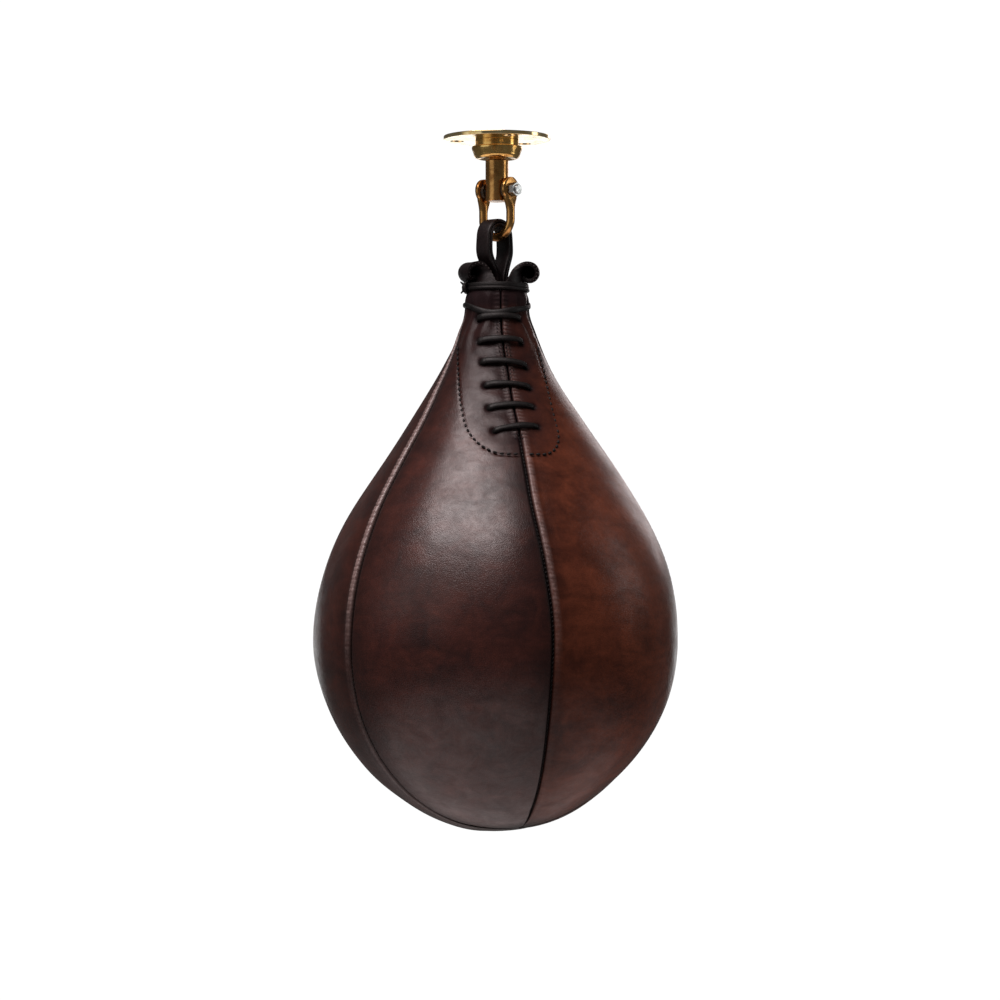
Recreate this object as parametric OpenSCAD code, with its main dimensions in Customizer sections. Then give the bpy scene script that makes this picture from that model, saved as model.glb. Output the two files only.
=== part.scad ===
// Leather speed bag on a ball-bearing ceiling swivel.
// Origin: centre of the flange face that lies against the board. +Z is up, so the bag hangs towards -Z.
// The lacing faces -Y.

/* [Bag outline] */
// Radius of the widest part of the bag
belly_r = 102.3; // [100:0.1:104]
// Height of the widest part
belly_z = -282.5; // [-286:0.5:-280]
// Height of the lowest point of the bag
pole_z = -390.5; // [-394:0.5:-388]
// Radius of the neck below the ties
neck_r = 18.2; // [18:0.1:19]
// Radius of the waist under the upper tie
waist_r = 16.2; // [16:0.1:16.6]
// Height where the neck ends and the bag starts to widen
shoulder_z = -102; // [-103:0.5:-101]
// Height of the leather's top edge at the mouth
mouth_z = -80.5; // [-81:0.5:-80.5]

/* [Leather] */
// Thickness of the panels
leather_t = 2.6; // [2.4:0.1:2.6]
// Thickness of the reinforcing facings
facing_t = 2; // [1.8:0.1:2]
// Thickness of the tongue behind the lacing
tongue_t = 1.8; // [1.4:0.1:1.8]
// Width of the tongue
tongue_w = 24; // [22:1:26]
// Width of a seam welt
welt_w = 1.4; // [1.2:0.1:1.6]
// How far a welt stands above the panels
welt_proud = 0.5; // [0.3:0.1:0.8]

/* [Lacing] */
// Diameter of the lace
lace_d = 3; // [2.6:0.1:3]
// Number of lace rungs across the slit
rung_count = 6; // [4:1:6]
// Height of the top rung
rung_top_z = -103; // [-104:0.5:-103]
// Distance between rungs
rung_pitch = 12.6; // [12:0.1:13]
// Distance from the slit to a lace hole, along the leather
hole_offset = 13.5; // [12:0.5:14]
// Height of the slit's lower end
slit_end_z = -170; // [-172:1:-169]
// Height of the lowest point of the facings
facing_end_z = -180; // [-184:1:-178]

/* [Hanging loop] */
// Width of the strap
strap_w = 11.4; // [10:0.2:11.4]
// Thickness of the doubled strap
strap_t = 4.4; // [4:0.1:4.4]
// Outer radius of the loop's arch
loop_r = 10.2; // [10:0.1:10.4]
// Height of the arch's centre
loop_z = -58.6; // [-58.8:0.1:-58.4]

/* [Shackle] */
// Diameter of the bow's bar
bow_bar_d = 4.8; // [4.4:0.1:4.8]
// Radius of the bow's centre line
bow_r = 9.9; // [9.9:0.1:10]
// Height of the bow's centre of curvature
bow_z = -49; // [-49.2:0.1:-49]
// Height of the pin axis
pin_z = -30.9; // [-31:0.1:-30.8]
// Diameter of the ears
ear_d = 12.1; // [11.5:0.1:12.5]
// Diameter of the shackle bolt
bolt_d = 5; // [4.8:0.1:5]
// Width across the flats of the nut
hex_flats = 7; // [7:0.1:8.5]

/* [Swivel] */
// Diameter of the mounting flange
flange_d = 60; // [58:1:66]
// Thickness of the mounting flange
flange_t = 2.2; // [2.2:0.1:2.4]
// Diameter of the circle of screw holes
screw_circle_d = 46; // [44:1:48]
// Diameter of a screw hole
screw_d = 4.5; // [4:0.1:5]
// Number of screw holes
screw_count = 3; // [3:1:4]
// Diameter of the stem
stem_d = 12.9; // [12.5:0.1:13]
// Number of bearing balls
ball_count = 12; // [8:1:12]

/* [Hidden] */
$fn = 64;

brass = "goldenrod";
steel = "silver";
hide = "saddlebrown";
dark_hide = "#2b1d1a";
rubber = "dimgray";

// Five panels meet in five seams; the first seam carries the lacing.
panel_angle = 72;
front_seam = -90;
right_seam = front_seam + panel_angle;
back_right_seam = right_seam + panel_angle;
back_left_seam = back_right_seam + panel_angle;
left_seam = back_left_seam + panel_angle;

// Bezier handles of the bag's outline: down from the shoulder, up and down from the belly, out from the pole.
shoulder_handle = [31, -80];
belly_handle_up = 72;
belly_handle_down = 53.3;
pole_handle = 53;
outline_steps = 14;
tie_z = -85.5;
tie_h = 5.2;
neck_top_z = -95;
pole_gap_r = 1.6;

// Depths of the layers under the outer face of the leather.
layer_gap = 0.2;
facing_depth = leather_t + layer_gap;
tongue_depth = facing_depth + facing_t + lace_d + 2 * layer_gap;
lace_depth = facing_depth + facing_t + lace_d / 2 + layer_gap;
lace_lift = lace_d / 2 + 0.4;
lace_hole_d = lace_d + 0.6;
slit_w = 1.6;

// The curled flap at the top of each facing.
curl_r = 5.6;
curl_z = -76.8;
curl_drop_angle = 35;

// The pin points to the front right; the loop's gap runs across it.
pin_angle = -60;
ear_t = 3.2;
ear_x = 10.3;
bore_gap = 0.05;
spacer_d = 9;
spacer_gap = 0.25;
nut_t = 3.4;
head_t = 1;
head_r = 3.6;
bolt_tip_x = 16.6;

// Levels of the swivel, from the board down.
head_top_z = -2.9;
race_top_z = -4.6;
race_t = 1.6;
ball_d = 3.2;
ball_z = -7.4;
ball_circle_r = 7.6;
groove_gap = 0.05;
lower_race_top_z = -8.6;
cap_floor_z = -10.4;
stem_top_z = -13.5;
stem_bottom_z = -36.8;
housing_r = 12.2;
housing_wall = 1.9;
housing_end_z = -6.4;
neck_shaft_r = 4.2;
cap_hole_r = 5.9;

function bezier(p0, p1, p2, p3, t) =
    pow(1 - t, 3) * p0 + 3 * pow(1 - t, 2) * t * p1 + 3 * (1 - t) * t * t * p2 + pow(t, 3) * p3;

function curve(p0, p1, p2, p3, first = 0) =
    [for (i = [first : outline_steps]) bezier(p0, p1, p2, p3, i / outline_steps)];

// The bag's outer outline as [radius, height], from the mouth to the pole.
outer_line = concat(
    [[waist_r, mouth_z], [waist_r, tie_z - tie_h / 2 - 1], [neck_r, neck_top_z]],
    curve([neck_r, shoulder_z], [neck_r, shoulder_z] + shoulder_handle,
          [belly_r, belly_z + belly_handle_up], [belly_r, belly_z]),
    curve([belly_r, belly_z], [belly_r, belly_z - belly_handle_down],
          [pole_handle, pole_z], [0, pole_z], first = 1)
);

// Direction from the outline's point i into the bag, one unit long.
function inward(line, i) =
    let (last = len(line) - 1,
         along = i == last ? [-1, 0] : line[min(i + 1, last)] - line[max(i - 1, 0)],
         unit_along = along / norm(along))
    [unit_along.y, -unit_along.x];

// The outline moved into the bag by a depth.
function inset(line, depth) =
    [for (i = [0 : len(line) - 1]) line[i] + depth * inward(line, i)];

function reversed(list) = [for (i = [len(list) - 1 : -1 : 0]) list[i]];

radius_table = [for (p = outer_line) [p.y, p.x]];
function bag_radius(z) = lookup(z, radius_table);
function slope_factor(z) = sqrt(1 + pow(bag_radius(z - 1) - bag_radius(z + 1), 2) / 4);

// A point at a height and an arc distance from the front seam, a depth below the leather's outer face.
function on_front(z, arc, depth) =
    let (a = front_seam + arc / bag_radius(z) * 180 / PI,
         r = bag_radius(z) - depth * slope_factor(z))
    [r * cos(a), r * sin(a), z];

// Section of one layer of the bag between two depths.
module layer_section(depth_out, depth_in) {
    difference() {
        polygon(concat(inset(outer_line, depth_out), reversed(inset(outer_line, depth_in))));
        translate([-pole_gap_r, pole_z - 1]) square([2 * pole_gap_r, leather_t * 5]);
    }
}

module seam_slab(angle, width) {
    rotate([0, 0, angle]) translate([0, -width / 2, pole_z - 2]) cube([belly_r + 4, width, -pole_z]);
}

// One gore of the bag from one seam to the next.
module gore(seam) {
    color(hide) difference() {
        rotate([0, 0, seam]) rotate_extrude(angle = panel_angle) layer_section(0, leather_t);
        seam_slab(seam, welt_w + 2 * groove_gap);
        seam_slab(seam + panel_angle, welt_w + 2 * groove_gap);
    }
}

// Holes for the lace on one side of the slit; side is -1 for left and 1 for right.
module lace_holes(side) {
    for (i = [0 : rung_count - 1]) {
        z = rung_top_z - i * rung_pitch;
        a = front_seam + side * hole_offset / bag_radius(z) * 180 / PI;
        hole_in = bag_radius(z) - tongue_depth;
        translate([0, 0, z]) rotate([0, 0, a]) rotate([0, 90, 0]) translate([0, 0, hole_in])
            cylinder(h = tongue_depth + 4, d = lace_hole_d);
    }
}

module laced_gore(seam, side) {
    color(hide) difference() {
        gore(seam);
        lace_holes(side);
    }
}

// A welt is a thin strip sewn into the seam; it fills the joint and stands a little proud.
module welt(angle, top_z = tie_z - tie_h / 2 - 1) {
    color(dark_hide) intersection() {
        rotate([90, 0, angle]) translate([0, 0, -welt_w / 2]) linear_extrude(welt_w)
            layer_section(-welt_proud, leather_t + layer_gap / 2);
        rotate([0, 0, angle]) translate([pole_gap_r, -welt_w, pole_z - 2]) cube([belly_r + 4, 2 * welt_w, top_z - pole_z + 2]);
    }
}

function arc(centre, r, from, to, steps) =
    [for (i = [0 : steps]) let (a = from + (to - from) * i / steps) centre + r * [cos(a), sin(a)]];

// Section of a facing: a layer under the leather whose top end curls outward over the mouth.
module facing_section() {
    curl_steps = 12;
    centre = [waist_r - facing_depth + curl_r - facing_t, curl_z];
    difference() {
        polygon(concat(
            arc(centre, curl_r - facing_t, -curl_drop_angle, 180, curl_steps),
            inset(outer_line, facing_depth),
            reversed(inset(outer_line, facing_depth + facing_t)),
            arc(centre, curl_r, 180, -curl_drop_angle, curl_steps)
        ));
        translate([-pole_gap_r, pole_z - 1]) square([2 * pole_gap_r, -facing_end_z]);
    }
}

// The facings' outline seen from the front: straight sides with a round lower end.
module facing_outline() {
    half_w = 25;
    end_r = 22;
    translate([-half_w, facing_end_z + end_r]) square([2 * half_w, -facing_end_z]);
    translate([end_r - half_w, facing_end_z]) square([2 * (half_w - end_r), end_r]);
    for (side = [-1, 1]) translate([side * (half_w - end_r), facing_end_z + end_r]) circle(r = end_r);
}

module facing(start, side) {
    color(dark_hide) difference() {
        intersection() {
            rotate([0, 0, start]) rotate_extrude(angle = 90) facing_section();
            rotate([90, 0, 0]) linear_extrude(belly_r) facing_outline();
        }
        seam_slab(front_seam, slit_w);
        lace_holes(side);
    }
}

module lacing_tongue() {
    top_z = -99;
    end_z = slit_end_z - 6;
    color(dark_hide) intersection() {
        rotate([0, 0, front_seam - 90]) rotate_extrude(angle = 180)
            layer_section(tongue_depth, tongue_depth + tongue_t);
        translate([-tongue_w / 2, -belly_r, end_z]) cube([tongue_w, belly_r, top_z - end_z]);
    }
}

// Rings of points round a route that never runs straight up, and the faces that join them.
sides = 8;
function unit(v) = v / norm(v);
function route_ring(c, t, r) =
    let (across = unit(cross(t, [0, 0, 1])), up = cross(across, t))
    [for (k = [0 : sides - 1]) c + r * (cos(360 * k / sides) * across + sin(360 * k / sides) * up)];
function ring_faces(a, b) =
    [for (k = [0 : sides - 1])
        let (next = (k + 1) % sides)
        each [[a * sides + k, a * sides + next, b * sides + next],
              [a * sides + k, b * sides + next, b * sides + k]]];

module open_tube(route, r) {
    n = len(route);
    points = [for (i = [0 : n - 1])
        each route_ring(route[i], unit(route[min(i + 1, n - 1)] - route[max(i - 1, 0)]), r)];
    walls = [for (i = [0 : n - 2]) each ring_faces(i, i + 1)];
    start_cap = [[for (k = [sides - 1 : -1 : 0]) k]];
    end_cap = [[for (k = [0 : sides - 1]) (n - 1) * sides + k]];
    polyhedron(points, concat(start_cap, walls, end_cap), convexity = 8);
}

module closed_tube(route, r) {
    n = len(route);
    points = [for (i = [0 : n - 1])
        each route_ring(route[i], unit(route[(i + 1) % n] - route[(i + n - 1) % n]), r)];
    walls = [for (i = [0 : n - 1]) each ring_faces(i, (i + 1) % n)];
    polyhedron(points, walls, convexity = 8);
}

// One rung: out through the left hole, across the slit and in through the right hole.
function rung(z) = concat(
    [on_front(z, -hole_offset, lace_depth)],
    [for (f = [-1 : 0.5 : 1]) on_front(z, f * hole_offset, -lace_lift)],
    [on_front(z, hole_offset, lace_depth)]
);

// The lace's way behind the leather, from a rung's right hole up to the next left hole.
function crossing(z) =
    [for (f = [0.5 : -0.5 : -0.5]) on_front(z + (0.5 - f / 2) * rung_pitch, f * hole_offset, lace_depth)];

module bag_lace() {
    lower_rungs = [for (i = [rung_count - 1 : -1 : 1])
        let (z = rung_top_z - i * rung_pitch) each concat(rung(z), crossing(z))];
    color(dark_hide) open_tube(concat(lower_rungs, rung(rung_top_z)), lace_d / 2);
}

// The lower tie runs level round the back of the neck and dips at the front towards the top rung.
module lower_neck_tie() {
    steps = 32;
    back_z = -94.5;
    dip = 3.6;
    reach = neck_r + lace_lift + 0.2;
    route = [for (i = [0 : steps - 1])
        let (a = front_seam + 360 * i / steps, front = pow((1 + cos(a - front_seam)) / 2, 2))
        [reach * cos(a), reach * sin(a), back_z - dip * front]];
    color(dark_hide) closed_tube(route, lace_d / 2);
}

// The upper tie is a flat thong round the waist with its knot at the left.
module upper_neck_tie() {
    thong_t = 2.2;
    knot_d = 6;
    knot_angle = 205;
    color(dark_hide) union() {
        rotate_extrude() translate([waist_r + layer_gap, tie_z - tie_h / 2]) square([thong_t, tie_h]);
        rotate([0, 0, knot_angle]) translate([waist_r + layer_gap + knot_d / 2, 0, tie_z]) sphere(d = knot_d);
    }
}

// The upper arc of a round eye whose sides run straight to a point below, touching the arc.
function eye_arc(r, point) =
    let (reach = atan2(point.y, point.x) + acos(r / norm(point)))
    arc([0, 0], r, reach, 180 - reach, 20);

// The loop's side view: a teardrop eye, then both strands together, then ends that splay inside the neck.
module loop_section() {
    join = [strap_t + 0.1, -21.4];
    eye_tip = [0, -19.8];
    splay_z = -84 - loop_z;
    foot_z = -97 - loop_z;
    foot_half = 9.6;
    difference() {
        polygon(concat(eye_arc(loop_r, join), [
            [-join.x, join.y], [-join.x, splay_z], [-foot_half, foot_z],
            [foot_half, foot_z], [join.x, splay_z], join]));
        polygon(concat(eye_arc(loop_r - strap_t, eye_tip), [eye_tip]));
        polygon([[0, splay_z - 2], [foot_half - strap_t, foot_z - 1], [strap_t - foot_half, foot_z - 1]]);
    }
}

module hanging_loop() {
    color(dark_hide) rotate([0, 0, pin_angle]) translate([-strap_w / 2, 0, loop_z])
        rotate([90, 0, 90]) linear_extrude(strap_w) loop_section();
}

// The rubber bladder fills the belly and narrows well clear of the lacing.
bladder_gap = 3.2;
bladder_neck_r = 5;
bladder_neck_z = -118;
bladder_neck_top_z = -106;
bladder_wall = 1;
bladder_line = concat(
    [[bladder_neck_r, bladder_neck_top_z]],
    curve([bladder_neck_r, bladder_neck_z], [bladder_neck_r + 12, bladder_neck_z - 78],
          [belly_r - bladder_gap, belly_z + belly_handle_up - 6], [belly_r - bladder_gap, belly_z]),
    curve([belly_r - bladder_gap, belly_z], [belly_r - bladder_gap, belly_z - belly_handle_down + 2],
          [pole_handle - 2, pole_z + bladder_gap], [0, pole_z + bladder_gap], first = 1)
);

module bladder() {
    color(rubber) rotate_extrude() difference() {
        polygon(concat([[0, bladder_neck_top_z]], bladder_line));
        polygon(concat([[0, bladder_neck_top_z + 1], [bladder_neck_r - bladder_wall, bladder_neck_top_z + 1]],
                       inset(bladder_line, bladder_wall)));
    }
}

module bladder_plug() {
    plug_len = 9;
    head_h = 1.5;
    shaft_r = bladder_neck_r - bladder_wall - 0.05;
    color(rubber) union() {
        translate([0, 0, bladder_neck_top_z - plug_len]) cylinder(h = plug_len, r = shaft_r);
        translate([0, 0, bladder_neck_top_z]) cylinder(h = head_h, r = bladder_neck_r);
    }
}

module mounting_flange() {
    sink_h = 1.6;
    color(brass) difference() {
        translate([0, 0, -flange_t]) cylinder(h = flange_t, d = flange_d, $fn = 96);
        for (i = [0 : screw_count - 1]) rotate([0, 0, -90 + i * 360 / screw_count])
            translate([screw_circle_d / 2, 0, -flange_t]) {
                translate([0, 0, -1]) cylinder(h = flange_t + 2, d = screw_d);
                translate([0, 0, -0.01]) cylinder(h = sink_h, r1 = screw_d / 2 + sink_h, r2 = screw_d / 2);
            }
    }
}

module bearing_housing() {
    color(brass) translate([0, 0, housing_end_z - 0.2]) difference() {
        cylinder(h = -housing_end_z - flange_t + 0.2, r = housing_r);
        translate([0, 0, -1]) cylinder(h = 10, r = housing_r - housing_wall);
    }
}

// The cap is a spun cup with a rolled lip, a round shoulder and a dished underside.
module housing_cap() {
    lip_r = 14.15;
    lip_top_z = housing_end_z + 0.6;
    body_r = 13.1;
    shoulder_r = 2.8;
    base_z = -12.9;
    dish_h = 1.2;
    cavity_r = 10.9;
    color(brass) rotate_extrude() difference() {
        polygon(concat(
            [[cap_hole_r, lip_top_z], [lip_r - 0.3, lip_top_z], [lip_r, lip_top_z - 0.4], [lip_r, lip_top_z - 1.6]],
            arc([body_r - shoulder_r, base_z + shoulder_r], shoulder_r, 0, -90, 6),
            [[cap_hole_r, cap_floor_z - dish_h]]));
        translate([0, cap_floor_z]) square([cavity_r, 20]);
        translate([0, housing_end_z - 0.25]) square([housing_r + groove_gap, 20]);
    }
}

// Groove that a ball runs in, as a circle to cut from a race's section.
module ball_groove() {
    translate([ball_circle_r, ball_z]) circle(d = ball_d + 2 * groove_gap);
}

module lower_race() {
    color(steel) rotate_extrude() difference() {
        translate([5.4, cap_floor_z]) square([5.2, lower_race_top_z - cap_floor_z]);
        ball_groove();
    }
}

module upper_race() {
    color(steel) rotate_extrude() difference() {
        translate([neck_shaft_r + groove_gap, race_top_z - race_t]) square([9.9 - neck_shaft_r - groove_gap, race_t]);
        ball_groove();
    }
}

module bearing_cage() {
    cage_t = 0.6;
    color(brass) difference() {
        translate([0, 0, ball_z - cage_t / 2]) cylinder(h = cage_t, r = 9.4);
        translate([0, 0, ball_z - 1]) cylinder(h = 2, r = 5.8);
        for (i = [0 : ball_count - 1]) rotate([0, 0, i * 360 / ball_count])
            translate([ball_circle_r, 0, ball_z - 1]) cylinder(h = 2, d = ball_d + 2 * groove_gap);
    }
}

module bearing_balls() {
    color(steel) for (i = [0 : ball_count - 1]) rotate([0, 0, i * 360 / ball_count])
        translate([ball_circle_r, 0, ball_z]) sphere(d = ball_d, $fn = 24);
}

// A cylinder along the pin, from one distance to another.
module along_pin(x0, x1, r, fn = 64) {
    rotate([0, 0, pin_angle]) translate([x0, 0, pin_z]) rotate([0, 90, 0]) cylinder(h = x1 - x0, r = r, $fn = fn);
}

module swivel_stem() {
    edge = 0.5;
    color(brass) difference() {
        union() {
            translate([0, 0, race_top_z]) cylinder(h = head_top_z - race_top_z, r = 6.6);
            translate([0, 0, stem_top_z - 0.1]) cylinder(h = race_top_z - stem_top_z + 0.2, r = neck_shaft_r);
            rotate_extrude() polygon([
                [0, stem_top_z], [stem_d / 2 - edge, stem_top_z], [stem_d / 2, stem_top_z - edge],
                [stem_d / 2, stem_bottom_z + edge], [stem_d / 2 - edge, stem_bottom_z], [0, stem_bottom_z]]);
        }
        along_pin(-10, 10, bolt_d / 2 + bore_gap);
    }
}

module shackle_bow() {
    color(brass) difference() {
        union() {
            rotate([0, 0, pin_angle]) {
                translate([0, 0, bow_z]) rotate([90, 0, 0]) rotate([0, 0, 180]) rotate_extrude(angle = 180)
                    translate([bow_r, 0]) circle(d = bow_bar_d);
                for (side = [-1, 1]) translate([side * bow_r, 0, bow_z])
                    cylinder(h = pin_z - ear_d / 2 + 1 - bow_z, d = bow_bar_d);
            }
            for (side = [-1, 1]) along_pin(side * ear_x - ear_t / 2, side * ear_x + ear_t / 2, ear_d / 2);
        }
        along_pin(-20, 20, bolt_d / 2 + 0.15);
    }
}

// The bolt has a low round head; its nut is on the other side.
module shackle_bolt() {
    ear_out = ear_x + ear_t / 2;
    color(steel) union() {
        along_pin(-ear_out - 0.1, bolt_tip_x, bolt_d / 2);
        along_pin(-ear_out - head_t, -ear_out, head_r);
    }
}

module shackle_nut() {
    ear_out = ear_x + ear_t / 2;
    color(steel) difference() {
        along_pin(ear_out, ear_out + nut_t, hex_flats / sqrt(3), fn = 6);
        along_pin(ear_out - 1, ear_out + nut_t + 1, bolt_d / 2 + bore_gap);
    }
}

// Two plain rings keep the stem in the middle of the shackle.
module shackle_spacers() {
    inner_x = stem_d / 2 + spacer_gap;
    outer_x = ear_x - ear_t / 2;
    color(steel) for (side = [-1, 1]) difference() {
        along_pin(min(side * inner_x, side * outer_x), max(side * inner_x, side * outer_x), spacer_d / 2);
        along_pin(-outer_x - 1, outer_x + 1, bolt_d / 2 + 0.15);
    }
}

mounting_flange();
bearing_housing();
housing_cap();
lower_race();
bearing_cage();
bearing_balls();
swivel_stem();
upper_race();
shackle_bow();
shackle_bolt();
shackle_nut();
shackle_spacers();
hanging_loop();
laced_gore(left_seam, -1);  // panel_front_left
laced_gore(front_seam, 1);  // panel_front_right
gore(right_seam);  // panel_side_right
gore(back_right_seam);  // panel_back
gore(back_left_seam);  // panel_side_left
welt(front_seam, slit_end_z);  // seam_welt_front
welt(right_seam);  // seam_welt_right
welt(back_right_seam);  // seam_welt_back_right
welt(back_left_seam);  // seam_welt_back_left
welt(left_seam);  // seam_welt_left
facing(180, -1);  // facing_left
facing(270, 1);  // facing_right
lacing_tongue();
bag_lace();
upper_neck_tie();
lower_neck_tie();
bladder();
bladder_plug();
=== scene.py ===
"""Looks of a leather speed bag on its ball-bearing swivel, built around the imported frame.

Metres, +Z up, the bag hangs towards -Z and its lacing faces -Y.
Most leather is drawn on one surface, skin(w, azimuth, lift): w runs down the bag's outline from the mouth.
"""

import math

import bmesh
import bpy
import numpy as np
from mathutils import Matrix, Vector


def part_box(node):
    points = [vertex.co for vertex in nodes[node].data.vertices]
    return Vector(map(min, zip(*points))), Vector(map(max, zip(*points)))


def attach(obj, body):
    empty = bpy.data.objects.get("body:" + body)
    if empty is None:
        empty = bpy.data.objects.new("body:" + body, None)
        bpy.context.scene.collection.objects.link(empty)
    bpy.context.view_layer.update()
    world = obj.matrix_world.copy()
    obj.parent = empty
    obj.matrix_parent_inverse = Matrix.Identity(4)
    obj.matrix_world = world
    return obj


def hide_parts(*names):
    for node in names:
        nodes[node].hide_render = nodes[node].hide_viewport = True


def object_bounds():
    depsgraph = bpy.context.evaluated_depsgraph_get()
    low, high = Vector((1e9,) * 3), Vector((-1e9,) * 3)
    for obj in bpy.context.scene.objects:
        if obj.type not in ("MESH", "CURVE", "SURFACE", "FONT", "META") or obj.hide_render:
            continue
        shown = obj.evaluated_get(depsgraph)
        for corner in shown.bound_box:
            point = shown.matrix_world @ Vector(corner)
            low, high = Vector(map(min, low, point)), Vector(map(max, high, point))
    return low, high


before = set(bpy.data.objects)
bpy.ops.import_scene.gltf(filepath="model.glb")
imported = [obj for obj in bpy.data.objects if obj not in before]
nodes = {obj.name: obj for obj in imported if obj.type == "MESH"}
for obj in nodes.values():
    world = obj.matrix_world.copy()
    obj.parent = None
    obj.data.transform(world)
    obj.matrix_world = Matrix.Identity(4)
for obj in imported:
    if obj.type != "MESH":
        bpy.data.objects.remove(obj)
cad_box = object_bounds()

MM = 0.001
DEG = math.pi / 180
UPWARD = np.array([0, 0, 1])

# -------- camera, light and floor

CAMERA_AZIMUTH = -17.5 * DEG
CAMERA_DISTANCE = 2.2
CAMERA_DROP = 0.074
CAMERA_SHIFT = 1.7 * MM
AIM_DROP = 9.1 * MM
VIEW_WIDTH = 0.56

WHITE = (1, 1, 1)
PINK_WHITE = (1.0, 0.88, 0.875)
BELLY_AIM = Vector((0, 0, -0.25))
SWIVEL_AIM = Vector((0, 0, -0.02))

# Each softbox: its place as in_view takes it, what it faces, its width and height, power and colour.
SOFTBOXES = {
    "key_light": ((-0.54, 0.82, 1.42), BELLY_AIM, (1.6, 1.05), 60, PINK_WHITE),
    "rim_light": ((0.75, -1.65, 0.42), BELLY_AIM, (0.7, 0.8), 4.6, PINK_WHITE),
    "back_card": ((0.0, -3.0, -0.30), SWIVEL_AIM, (3.0, 0.5), 7.5, WHITE),
    "left_card": ((-0.5, 0.35, -0.05), SWIVEL_AIM, (0.5, 0.3), 0.30, WHITE),
    "right_card": ((0.5, 0.02, -0.02), SWIVEL_AIM, (0.12, 0.3), 0.30, WHITE),
}

# Brightness of the background: as a source of light, and where the camera sees it.
WORLD_LIGHT = 0.10
WORLD_SEEN = 1.05

FLOOR_Z = -1.35
FLOOR_R = 1.5
FLOOR_GREY = (0.6, 0.6, 0.6, 1)
FLOOR_GLOW = (1.0, 0.80, 0.78)
FLOOR_LIGHT = 0.66
FLOOR_SEEN = 1.0


def in_view(right, near, up):
    """A point given by how far it is right of, in front of and above the origin, as the camera sees it."""
    c, s = math.cos(CAMERA_AZIMUTH), math.sin(CAMERA_AZIMUTH)
    return Vector((right * c + near * s, right * s - near * c, up))


def link(obj):
    bpy.context.scene.collection.objects.link(obj)


def aim(obj, target):
    obj.rotation_mode = "QUATERNION"
    obj.rotation_quaternion = (target - obj.location).to_track_quat("-Z", "Y")


def make_camera():
    """The camera stands a little below the middle of the bag and looks slightly up."""
    middle_z = (cad_box[0].z + cad_box[1].z) / 2 - AIM_DROP
    data = bpy.data.cameras.new("camera")
    data.lens = data.sensor_width * CAMERA_DISTANCE / VIEW_WIDTH
    data.clip_end = 200
    camera = bpy.data.objects.new("camera", data)
    camera.location = in_view(CAMERA_SHIFT, CAMERA_DISTANCE, middle_z - CAMERA_DROP)
    aim(camera, in_view(CAMERA_SHIFT, 0, middle_z))
    link(camera)
    bpy.context.scene.camera = camera


def make_lights():
    """A large softbox in front, a smaller one behind at the right, and cards that the brass reflects."""
    for name, (place, target, size, power, colour) in SOFTBOXES.items():
        data = bpy.data.lights.new(name, "AREA")
        data.shape = "RECTANGLE"
        data.size, data.size_y = size
        data.energy = power
        data.color = colour
        light = bpy.data.objects.new(name, data)
        light.location = in_view(*place)
        aim(light, target)
        link(light)


def make_world():
    """White where the camera looks past the object, dim as a source of light."""
    world = bpy.data.worlds.new("studio")
    world.use_nodes = True
    bpy.context.scene.world = world
    tree = world.node_tree
    background = tree.nodes["Background"]
    path = tree.nodes.new("ShaderNodeLightPath")
    bright = tree.nodes.new("ShaderNodeMapRange")
    bright.inputs["To Min"].default_value = WORLD_LIGHT
    bright.inputs["To Max"].default_value = WORLD_SEEN
    tree.links.new(path.outputs["Is Camera Ray"], bright.inputs["Value"])
    tree.links.new(bright.outputs["Result"], background.inputs["Strength"])
    background.inputs["Color"].default_value = (1, 1, 1, 1)
    bpy.context.scene.view_settings.view_transform = "Standard"


def make_floor():
    """A plain pale round floor well below the bag, bright enough to run into the white background."""
    turn = np.linspace(0, 2 * np.pi, 65)[:-1]
    rim = np.insert(arc_points(FLOOR_R, turn), 2, FLOOR_Z, axis=1)
    mesh = bpy.data.meshes.new("floor")
    mesh.from_pydata(rim.tolist(), [], [list(range(len(turn)))])
    floor = bpy.data.objects.new("floor", mesh)
    paint = Nodes("floor_paint")
    seen = paint.add("ShaderNodeLightPath").outputs["Is Camera Ray"]
    glow = paint.mix(seen, FLOOR_GLOW, WHITE)
    strength = paint.remap(seen, 0, 1, FLOOR_LIGHT, FLOOR_SEEN)
    mesh.materials.append(paint.finish(Base_Color=FLOOR_GREY, Roughness=0.9, Emission_Color=glow,
                                       Emission_Strength=strength))
    link(floor)


# -------- curves and shapes


def ease(x, low, high):
    """0 below low, 1 above high, smooth between."""
    t = np.clip((x - low) / (high - low), 0, 1)
    return t * t * (3 - 2 * t)


def bell(x, centre, width):
    return np.exp(-(((x - centre) / width) ** 2))


def through(x, knots):
    """A smooth curve through (x, y) knots with rising x, level beyond its ends."""
    xs, ys = np.array(knots, float).T
    slope = np.gradient(ys, xs)
    slope[[0, -1]] = 0
    i = np.clip(np.searchsorted(xs, x) - 1, 0, len(xs) - 2)
    span = xs[i + 1] - xs[i]
    t = np.clip((x - xs[i]) / span, 0, 1)
    start = (1 + 2 * t) * (1 - t) ** 2 * ys[i] + t * (1 - t) ** 2 * span * slope[i]
    end = t * t * (3 - 2 * t) * ys[i + 1] + t * t * (t - 1) * span * slope[i + 1]
    return start + end


def bezier(p0, p1, p2, p3, count):
    t = np.linspace(0, 1, count)[:, None]
    p0, p1, p2, p3 = (np.array(p) for p in (p0, p1, p2, p3))
    return (1 - t) ** 3 * p0 + 3 * (1 - t) ** 2 * t * p1 + 3 * (1 - t) * t * t * p2 + t**3 * p3


def length_along(points):
    """Distance of each point from the first, along the line."""
    steps = np.linalg.norm(np.diff(points, axis=0), axis=1)
    return np.concatenate([[0], np.cumsum(steps)])


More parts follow.
